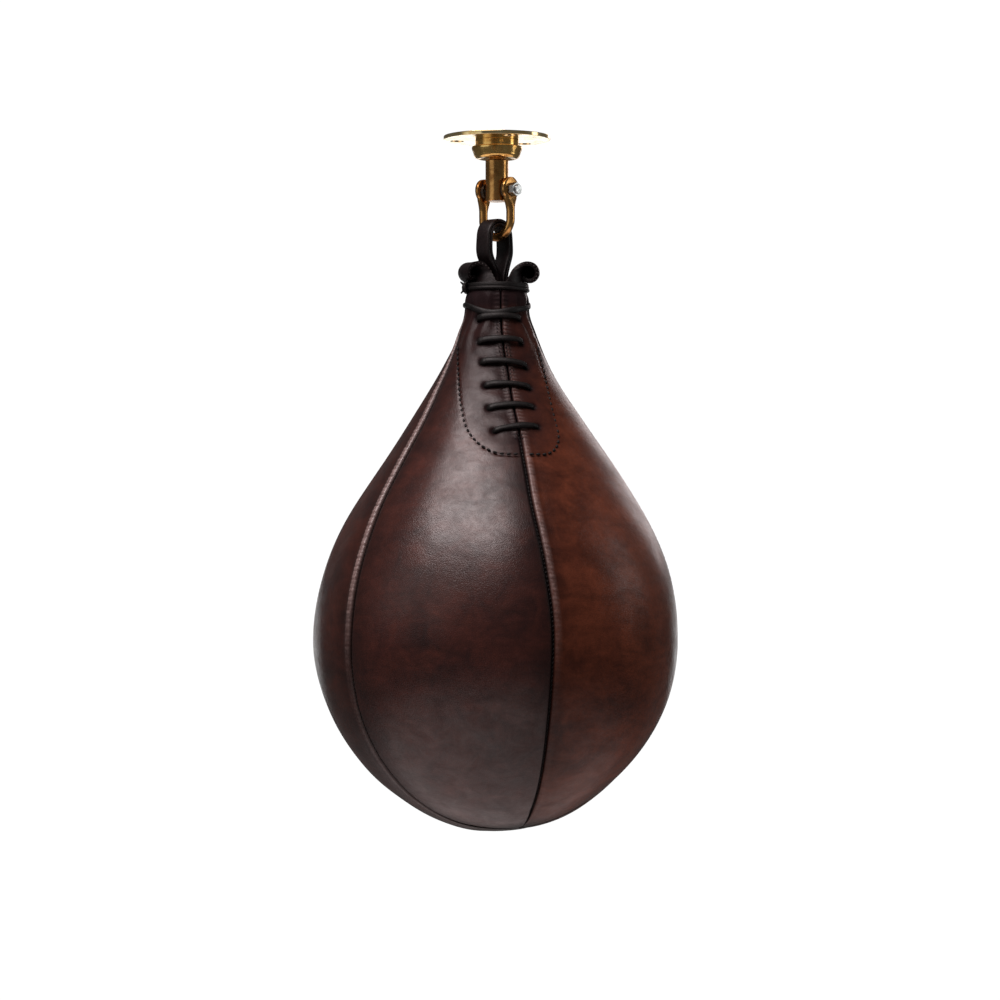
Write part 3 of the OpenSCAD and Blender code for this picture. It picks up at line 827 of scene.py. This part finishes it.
def panel(node, first, last, lips, middle, material, lacing=None):
    """One gore from one seam to the next; lacing says which of its edges is the slit: first or last."""
    w = ROWS
    r, z = radius_at(w), height_at(w)
    start = seam_azimuth(first, w)
    width = r * ((seam_azimuth(last, w) - start) % (2 * np.pi))
    scale = np.minimum(1, width / FULL_WIDTH)
    closed_gap = SEAM_GAP * scale
    slit_gap = closed_gap + (SLIT_HALF - closed_gap) * in_slit(w)
    gaps = [slit_gap if lacing == side else closed_gap for side in ("first", "last")]
    s = column_distances(width, *gaps, middle)
    azimuth = start[:, None] + s / r[:, None]
    from_seam = {"first": s, "last": width[:, None] - s}
    w, z, scale = w[:, None], z[:, None], scale[:, None]
    lift = body_relief(skin(w, azimuth), w, azimuth)
    # Painted shade and lightened, partly lit ridges, summed over both edges.
    black, wear_and_highlight = 0, 0
    for (side, distance), lip in zip(from_seam.items(), lips):
        slit_share = in_slit(w) if lacing == side else 0
        marks = seam_marks(distance, w, scale, lip, slit_share)
        lift, black, wear_and_highlight = lift + marks[0], black + marks[1], wear_and_highlight + marks[2]
    # Painted shade on the neck above the lower tie.
    neck_shade_and_u_dark = 0.9 * (1 - below(w, -94 * MM, -103 * MM)) * np.ones_like(s)
    if lacing:
        distance, sign = from_seam[lacing], 1 if lacing == "first" else -1
        lift = lift + lacing_relief(distance, w, z, sign, width[:, None])
        # Darker and duller inside the U of stitches round the lacing.
        neck_shade_and_u_dark = np.maximum(neck_shade_and_u_dark, 0.45 * (1 - ease(u_distance(distance, z, sign), -9 * MM, 3 * MM)))
        # Painted shade in the dented lace holes.
        for hole in hole_distances(distance, z, sign):
            black = black + 0.95 * bell(hole, 0, 2.2 * MM)
    thickness = PANEL_T * np.minimum(1, 0.55 + scale)
    solid = sheet_solid(skin(w, azimuth, lift), skin(w, azimuth, lift - thickness))
    # Masks for the material: painted shade at seams and holes, painted shade on the neck with the darker U,
    # and worn ridges painted lit.
    tones = {"seam": black, "neck_shade_and_u_dark": neck_shade_and_u_dark, "wear_and_highlight": wear_and_highlight}
    values = {name: np.tile(np.clip(tone, 0, 1).ravel(), 2) for name, tone in tones.items()}
    made = piece(f"{node}_leather", solid, material, replaces=[node], values=values)


def make_panels():
    panel("panel_front_left", "left", "front", (0.15, 0.1), 44, HIDE_LEFT, lacing="last")
    panel("panel_front_right", "front", "right", (0.9, 0.4), 44, HIDE_RIGHT, lacing="first")
    panel("panel_side_right", "right", "back_right", (0.4, 0.4), 30, HIDE_RIGHT)
    panel("panel_back", "back_right", "back_left", (0.5, 0.4), 30, HIDE_SIDE)
    panel("panel_side_left", "back_left", "left", (0.4, 1.3), 30, HIDE_SIDE)


# -------- seams and sewing


def seam_line(name, top_w, lift):
    """Points down a seam and the surface normals there."""
    w = np.arange(top_w, POLE_W - 2 * MM, 1.2 * MM)
    azimuth = seam_azimuth(name, w)
    return skin(w, azimuth, lift), skin_normal(w, azimuth)


def make_seams():
    """In each seam a thin welt deep in the crease, and the thread that crosses it."""
    for name in SEAMS:
        top_w = w_at(SLIT_END_Z) if name == "front" else w_at(UNDER_TIE_Z)
        line, up = seam_line(name, top_w, -3.0 * MM)
        welt = sweep(line, up, 0.26 * MM, 0.9 * MM, sides=8, square=0.6)
        piece(f"welt_{name}", welt, STRAP, replaces=[f"seam_welt_{name}"])
        line, up = seam_line(name, top_w, -1.9 * MM)
        sewing = stitches(line, up, STITCH_PITCH, 1.3 * MM, 0.30 * MM, lean=0.55 * MM)
        piece(f"seam_thread_{name}", sewing, THREAD)


def facing_stitches():
    """The U of stitches that holds the facings behind the lacing."""
    turn = np.linspace(0, np.pi / 2, 24)
    parts = []
    for side, (half, radius) in U_SIDES.items():
        side_z = np.linspace(-119 * MM, U_END_Z + radius, 30)[:-1]
        corner_s = half - radius + radius * np.cos(turn)
        corner_z = U_END_Z + radius - radius * np.sin(turn)
        bottom_s = np.linspace(half - radius, 2.5 * MM, 8)[1:]
        s = np.concatenate([np.full(len(side_z), half), corner_s, bottom_s])
        z = np.concatenate([side_z, corner_z, np.full(len(bottom_s), U_END_Z)])
        w = w_at(z)
        azimuth = beside_slit(w, side * s)
        line = skin(w, azimuth, 0.10 * MM)
        parts.append(stitches(line, skin_normal(w, azimuth), FACING_PITCH, 2.5 * MM, 0.74 * MM))
    return join(parts)


def slit_stitches():
    """Overcast stitches over both edges of the slit."""
    parts = []
    ends = [*(RUNG_Z[1:] + 2.0 * MM), SLIT_END_Z - 4 * MM]
    for top, end in zip(RUNG_Z - 2.2 * MM, ends):
        for side in (-1, 1):
            for arc, lean in ((1.1 * MM, 0.6 * MM), (2.9 * MM, 0.25 * MM)):
                w = np.arange(w_at(top), w_at(end), 1 * MM)
                azimuth = beside_slit(w, side * arc)
                line = skin(w, azimuth, 0.05 * MM)
                up = skin_normal(w, azimuth)
                parts.append(stitches(line, up, STITCH_PITCH, 1.0 * MM, 0.30 * MM, lean=side * lean))
    return join(parts)


def make_sewing():
    piece("facing_thread", facing_stitches(), THREAD)
    piece("slit_thread", slit_stitches(), THREAD)


# -------- lacing, ties and tongue

# A rung's rise out of its hole: (share of the half length, millimetres above the leather).
RUNG_RISE = ((0.0, 1.6), (0.45, 1.4), (0.80, 0.9), (0.93, -0.2), (0.98, -2.4), (1.0, -5.4))
LACE_HALF = 1.65 * MM
LACE_HALF_T = 1.2 * MM
BEHIND_LIFT = -6.6 * MM


def rung_route(i):
    """(arc, height, lift) of one rung from its left hole to its right hole; it bows upward a little."""
    share = np.concatenate([np.linspace(-1, -0.7, 9), np.linspace(-0.6, 0.6, 9), np.linspace(0.7, 1, 9)])
    z = RUNG_Z[i] + share * RUNG_TILT[i] / 2 + 1.1 * MM * (1 - share**2)
    arc = share * np.where(share < 0, HOLE_ARC[-1], HOLE_ARC[1])
    return np.stack([arc, z, through(np.abs(share), RUNG_RISE) * MM], -1)


def crossing_route(i):
    """Behind the leather, from a rung's right hole up to the left hole of the rung above."""
    share = np.linspace(0, 1, 7)[1:-1]
    start, end = rung_height(i, 1), rung_height(i - 1, -1)
    arc = HOLE_ARC[1] * (1 - share) - HOLE_ARC[-1] * share
    return np.stack([arc, start + (end - start) * share, np.full(len(share), BEHIND_LIFT)], -1)


def make_lace():
    steps = []
    for i in range(len(RUNG_Z) - 1, -1, -1):
        steps.append(rung_route(i))
        if i:
            steps.append(crossing_route(i))
    s, z, lift = np.concatenate(steps).T
    w = w_at(z)
    azimuth = beside_slit(w, s)
    route = skin(w, azimuth, lift)
    up = skin_normal(w, azimuth) + 0.05 * UPWARD
    swell = (1 + 0.13 * ripple(route, 5 * MM, 11)) * (1 - 0.12 * s / HOLE_ARC[-1])
    solid = sweep(route, up, LACE_HALF * swell, LACE_HALF_T * swell, sides=16, square=0.8)
    piece("lace", solid, LACE, replaces=["bag_lace"])


def ring_route(z_of_angle, lift, count, turns=1.0, start=0.0):
    """A route round the neck: azimuths, points and outward directions."""
    azimuth = start + np.linspace(0, 2 * np.pi * turns, count)
    w = w_at(z_of_angle(azimuth))
    return azimuth, skin(w, azimuth, lift), skin_normal(w, azimuth)


def make_lower_tie():
    """A thong level round the back of the neck that dips at the front towards the top rung."""
    front = -104 * DEG

    def height(azimuth):
        dip = 6.2 * MM * ((1 + np.cos(azimuth - front)) / 2) ** 3
        return -94.4 * MM - dip + 0.55 * MM * np.sin(4 * azimuth + 0.8)

    azimuth, route, up = ring_route(height, 0.35 * MM, 121)
    wide = 1.4 * MM + 0.5 * MM * bell(np.cos(azimuth - front), 1, 0.3)
    thick = (1.0 + 0.12 * np.sin(7 * azimuth)) * MM
    solid = sweep(route[:-1], up[:-1], wide[:-1], thick[:-1], sides=14, square=0.8, closed=True)
    piece("lower_tie", solid, LACE, replaces=["lower_neck_tie"])


KNOT_AZIMUTH = 181 * DEG
KNOT_OUT, KNOT_ROUND = level_directions(KNOT_AZIMUTH)
KNOT_R = 18.6 * MM

# Each loose end of the tie: how far it rises for its length, and its length.
TIE_ENDS = ((0.45, 6.5 * MM), (0.0, 5 * MM), (-0.6, 6 * MM))


def make_upper_tie():
    """Three tight turns of flat thong round the waist, a knot at the left and its frayed ends."""
    turns = 3
    pitch = 1.72 * MM

    def height(azimuth):
        return TIE_Z + pitch * turns / 2 - pitch * (azimuth - KNOT_AZIMUTH) / (2 * np.pi)

    azimuth, route, up = ring_route(height, 0.95 * MM, 300, turns=turns, start=KNOT_AZIMUTH)
    uneven = 1 + 0.12 * ripple(route, 7 * MM, 19)
    wound = sweep(route, up, 0.98 * MM, 0.80 * MM * uneven, sides=12, square=0.75)
    ends = [tie_end(lean, length) for lean, length in TIE_ENDS]
    piece("upper_tie", join([wound, knot(), *ends]), LACE, replaces=["upper_neck_tie"])


def knot_place(out, side, up):
    """A point by its distances out from the neck's axis, round it and above the tie at the knot."""
    level = np.multiply.outer(out, KNOT_OUT) + np.multiply.outer(side, KNOT_ROUND)
    return level + np.multiply.outer(TIE_Z + np.asarray(up), UPWARD)


def knot():
    """An overhand knot: a short thong wound twice round itself."""
    turn = np.linspace(0, 4 * np.pi, 48)
    out = KNOT_R + 1.2 * MM * np.sin(turn)
    route = knot_place(out, 1.7 * MM * np.cos(turn * 0.75), 1.9 * MM * np.cos(turn))
    return sweep(route, np.tile(KNOT_ROUND, (len(turn), 1)), 1.1 * MM, 1.0 * MM, sides=10)


def tie_end(lean, length):
    """A loose end that stands out from the knot and narrows to a torn tip."""
    t = np.linspace(0, 1, 8)
    route = knot_place(KNOT_R - 0.6 * MM + length * 0.55 * t, 0 * t, lean * length * t)
    around = np.tile(-KNOT_ROUND, (len(t), 1))
    return sweep(route, around, 1.2 * MM * (1 - 0.7 * t), 0.55 * MM * (1 - 0.6 * t), sides=8)


def make_tongue():
    """The tongue behind the slit, following the bag's surface with slow lumps."""
    w = np.linspace(w_at(-99 * MM), w_at(-176 * MM), 90)[:, None]
    arc = np.linspace(-12 * MM, 12 * MM, 22)
    azimuth = beside_slit(w, arc)
    lift = -8.4 * MM + 0.3 * MM * ripple(skin(w, azimuth), 12 * MM, 13)
    solid = sheet_solid(skin(w, azimuth, lift), skin(w, azimuth, lift - 1.6 * MM))
    piece("tongue", solid, STRAP, replaces=["lacing_tongue"])


# -------- facings with their curled flaps

FACING_T = 1.8 * MM
FLAP_T = 2.3 * MM
FACING_LIFT = -3.0 * MM

# Each flap: its side of the slit, its front edge as (share of the curl, degrees from the slit), the radius
# at which the curl's centre lies, the curl's own radius, and the angle in degrees at which it ends.
FLAPS = {
    "left": {"sign": -1, "edge": ((0, 3), (0.3, 18), (0.5, 40), (0.75, 56), (1.0, 62)),
             "centre_r": 16.4 * MM, "curl": 5.0 * MM, "end": -120},
    "right": {"sign": 1, "edge": ((0, 3), (0.3, 30), (0.5, 60), (0.75, 72), (1.0, 76)),
              "centre_r": 18.0 * MM, "curl": 5.3 * MM, "end": -150},
}
FLAP_CENTRE_Z = -77.2 * MM
FLAP_BACK = 130 * DEG


def curl_path(flap, count):
    """Section of a flap as (radius, height): out of the neck, up, over and curled in under itself."""
    rise = np.array([(13.0, -90), (13.2, -85)]) * MM
    turn = np.linspace(205, flap["end"], 60) * DEG
    closing = 1 - 0.30 * np.linspace(0, 1, len(turn)) ** 1.5
    arc = arc_points(flap["curl"] * closing, turn, flap["centre_r"], FLAP_CENTRE_Z)
    line = smooth_line(np.concatenate([rise, arc]), 4 * count, 20)
    return resample(line, np.linspace(0, length_along(line)[-1], count))


def flap_solid(flap):
    """The flared and curled top of one facing, from its front edge to its back edge."""
    rows, cols = 60, 70
    path = curl_path(flap, rows)
    share = np.linspace(0, 1, rows)
    start = through(share, flap["edge"]) * DEG
    across = np.linspace(0, 1, cols)
    angle = start[:, None] + (FLAP_BACK - start)[:, None] * across
    slit = seam_azimuth("front", w_at(np.array([-86 * MM])))[0]
    azimuth = slit + flap["sign"] * angle
    along = tangents(path)
    normal = np.stack([-along[:, 1], along[:, 0]], -1)
    flare = 1 - 0.75 * ease(across, 0.45, 1.0)
    stand = 0.72 + 0.28 * flare
    out, rise = (path - path[0]).T[:, :, None]
    wave = 0.5 * MM * np.sin(angle * 5 + flap["sign"]) * share[:, None]

    def layer(offset):
        r = path[0, 0] + out * flare + normal[:, :1] * (offset + wave)
        z = path[0, 1] + rise * stand + normal[:, 1:] * (offset + wave)
        return np.stack([r * np.cos(azimuth), r * np.sin(azimuth), z], -1)

    outer, inner = layer(FLAP_T / 2), layer(-FLAP_T / 2)
    return (outer, inner) if flap["sign"] < 0 else (inner, outer)


def facing_solid(flap):
    """The hidden part of a facing: a sheet under the panel, down to the end of the U."""
    w = np.linspace(w_at(UNDER_TIE_Z), w_at(-179.5 * MM), 80)[:, None]
    z, r = height_at(w), radius_at(w)
    u_half, radius = U_SIDES[flap["sign"]]
    y = np.maximum((U_END_Z + radius) - z, 0)
    half = u_half - radius + np.sqrt(np.maximum(radius**2 - y**2, (1 * MM) ** 2)) - 1 * MM
    far = np.minimum(half, r * 85 * DEG)
    near = SLIT_HALF + 0.2 * MM
    arc = near + (far - near) * np.linspace(0, 1, 24)
    azimuth = beside_slit(w, flap["sign"] * arc)
    outer, inner = skin(w, azimuth, FACING_LIFT), skin(w, azimuth, FACING_LIFT - FACING_T)
    return sheet_solid(outer, inner) if flap["sign"] > 0 else sheet_solid(inner, outer)


def make_facings():
    for side, flap in FLAPS.items():
        outer, inner = flap_solid(flap)
        rolled = sheet_solid(outer, inner)
        made = piece(f"facing_{side}_leather", join([rolled, facing_solid(flap)]), STRAP,
                     replaces=[f"facing_{side}"])
        round_edges(made, 0.5 * MM, 2, 50 * DEG)
        edge = (outer[:, 0] + inner[:, 0]) / 2
        up = units(outer[:, 0] - outer[:, 3])
        sewing = stitches(edge, up, 2.2 * MM, 1.0 * MM, 0.3 * MM, lean=0.9 * MM)
        piece(f"flap_thread_{side}", sewing, EDGE)


# -------- hanging loop

PIN_AZIMUTH = -60 * DEG
PIN, ACROSS_PIN = level_directions(PIN_AZIMUTH)
LOOP_W = 9.8 * MM
LOOP_LAYER = 2.15 * MM
LOOP_LEAN = -2.0 * MM
LOOP_R = 10.4 * MM
LOOP_CENTRE_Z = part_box("hanging_loop")[1].z - LOOP_R + 1.8 * MM

# The outside of a strand, in millimetres: (distance from the middle, drop below the arch's centre).
STRAND = ((10.7, 6), (10.6, 10), (8.6, 14), (5.6, 20), (4.4, 22.5))


def loop_line(depth):
    """Side view of one layer of the strap, a depth inside the loop's outline, as (across, height).

    It goes up one strand, over the arch and down the other; the strands stay wide apart, then meet.
    """
    foot_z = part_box("hanging_loop")[0].z + 1 * MM
    turn = np.linspace(-4, 184, 60) * DEG
    arch = arc_points(LOOP_R - depth, turn, 0, LOOP_CENTRE_Z)
    right = [(across * MM - depth, LOOP_CENTRE_Z - drop * MM) for across, drop in STRAND]
    right = right + [(4.4 * MM - depth, -87 * MM), (9.4 * MM - depth, foot_z)]
    right = np.array(right[::-1])
    left = right[::-1] * (-1, 1)
    line = np.concatenate([right, arch, left])
    line[:, 0] += LOOP_LEAN * ease(line[:, 1], -84 * MM, -66 * MM)
    return line


def smooth_line(line, count, passes=30):
    """Evenly spaced points of a line with its corners rounded."""
    line = resample(line, np.linspace(0, length_along(line)[-1], count))
    for _ in range(passes):
        line[1:-1] = (line[:-2] + 2 * line[1:-1] + line[2:]) / 4
    return line


def make_loop():
    """A doubled strap: two layers sewn together along both edges."""
    parts, sewing = [], []
    for depth in (LOOP_LAYER / 2, LOOP_LAYER * 1.5):
        line = smooth_line(loop_line(depth), 150, 14)
        route = line[:, :1] * ACROSS_PIN + line[:, 1:] * UPWARD
        up = np.cross(PIN, tangents(route))
        half = LOOP_W / 2 * (1 + 0.03 * ripple(route, 9 * MM, 17))
        parts.append(sweep(route, up, half, LOOP_LAYER / 2, sides=28, square=0.45))
        if not sewing:
            for edge in (-1, 1):
                inset = PIN * edge * (LOOP_W / 2 - 1.5 * MM)
                on_top = route + inset + up * (LOOP_LAYER / 2 - 0.05 * MM)
                sewing.append(stitches(on_top, up, 2.4 * MM, 1.6 * MM, 0.25 * MM))
    piece("loop_strap", join(parts), STRAP, replaces=["hanging_loop"])
    piece("loop_thread", join(sewing), THREAD)


# -------- metal


def metal(node, material, body, bevel):
    """A copy of a CAD node with its sharp edges rounded."""
    source = nodes[node].data.copy()
    source.name = f"{node}_metal"
    source.materials.clear()
    source.materials.append(material)
    working = bmesh.new()
    working.from_mesh(source)
    bmesh.ops.remove_doubles(working, verts=working.verts, dist=0.002 * MM)
    bmesh.ops.dissolve_limit(working, angle_limit=1.5 * DEG, verts=working.verts, edges=working.edges)
    for face in working.faces:
        face.smooth = True
    working.to_mesh(source)
    working.free()
    obj = bpy.data.objects.new(source.name, source)
    link(obj)
    round_edges(obj, bevel, 3, 30 * DEG)
    obj.modifiers.new("even_normals", "WEIGHTED_NORMAL").keep_sharp = True
    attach(obj, body)
    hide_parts(node)


BOW_R = 9.9 * MM
BOW_BULGE = 0.45 * MM
BOW_BAR = 2.45 * MM
BOW_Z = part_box("shackle_bow")[0].z + BOW_R + 4.4 * MM
EAR_TOP_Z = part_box("shackle_bow")[1].z + 1.2 * MM
EAR_R = 6.5 * MM
EAR_HALF_T = 1.6 * MM
EAR_ROOT = 0.72 * EAR_R


def make_bow():
    """The forged shackle bow: round bar, with both ends drawn out into flat teardrop ears."""
    ear_z = EAR_TOP_Z - EAR_R
    ear = EAR_R * np.cos(np.linspace(0.12, 1.0, 14) * np.pi / 2)
    leg_z = ear_z + np.concatenate([ear, np.linspace(-0.5, -17, 34) * MM])
    leg_z = leg_z[leg_z > BOW_Z + 0.3 * MM]
    leg_x = BOW_R + BOW_BULGE * bell(leg_z, BOW_Z + 3 * MM, 6 * MM)
    turn = np.linspace(0, -180, 40) * DEG
    bow_r = BOW_R + BOW_BULGE * bell(np.sin(turn), 0, 0.5)
    bow = np.stack([bow_r * np.cos(turn), BOW_Z + BOW_R * np.sin(turn)], -1)
    leg = np.stack([leg_x, leg_z], -1)
    line = np.concatenate([leg, bow, leg[::-1] * (-1, 1)])
    above = line[:, 1] - ear_z
    disc = np.sqrt(np.maximum(EAR_R**2 - above**2, 0))
    taper = BOW_BAR + (EAR_ROOT - BOW_BAR) * (1 - ease(-above, 3.6 * MM, 13 * MM))
    half_across = np.where(above > -4.3 * MM, disc, np.minimum(taper, EAR_ROOT))
    half_across = np.maximum(half_across, 0.5 * MM)
    in_ear = 1 - ease(-above, 3.5 * MM, 10 * MM)
    half_pin = BOW_BAR + (EAR_HALF_T - BOW_BAR) * in_ear
    route = line[:, :1] * PIN + line[:, 1:] * UPWARD
    up = np.tile(ACROSS_PIN, (len(route), 1))
    solid = sweep(route, up, half_pin, half_across, sides=28, square=1 - 0.55 * in_ear)
    piece("shackle_bow_forged", solid, BRONZE, body="shackle", replaces=["shackle_bow"])


def make_metal():
    metal("mounting_flange", PALE_BRASS, "ceiling_mount", 0.35 * MM)
    metal("bearing_housing", BRASS, "ceiling_mount", 0.2 * MM)
    metal("housing_cap", BRASS, "ceiling_mount", 0.25 * MM)
    metal("swivel_stem", BRONZE, "stem", 0.25 * MM)
    metal("shackle_bolt", ZINC, "shackle", 0.35 * MM)
    metal("shackle_nut", ZINC, "shackle", 0.45 * MM)
    metal("shackle_spacers", DARK_STEEL, "shackle", 0.2 * MM)


def dress_hidden_nodes():
    """Pieces inside the swivel and the bag keep their CAD meshes and get real materials."""
    finishes = {"lower_race": BEARING, "upper_race": BEARING, "bearing_balls": BEARING,
                "bearing_cage": BRASS, "bladder": RUBBER, "bladder_plug": RUBBER}
    for node, material in finishes.items():
        for slot in nodes[node].material_slots:
            slot.material = material


# -------- the scene

make_world()
make_camera()
make_lights()
make_floor()
make_panels()
make_seams()
make_sewing()
make_lace()
make_lower_tie()
make_upper_tie()
make_tongue()
make_facings()
make_loop()
make_bow()
make_metal()
dress_hidden_nodes()
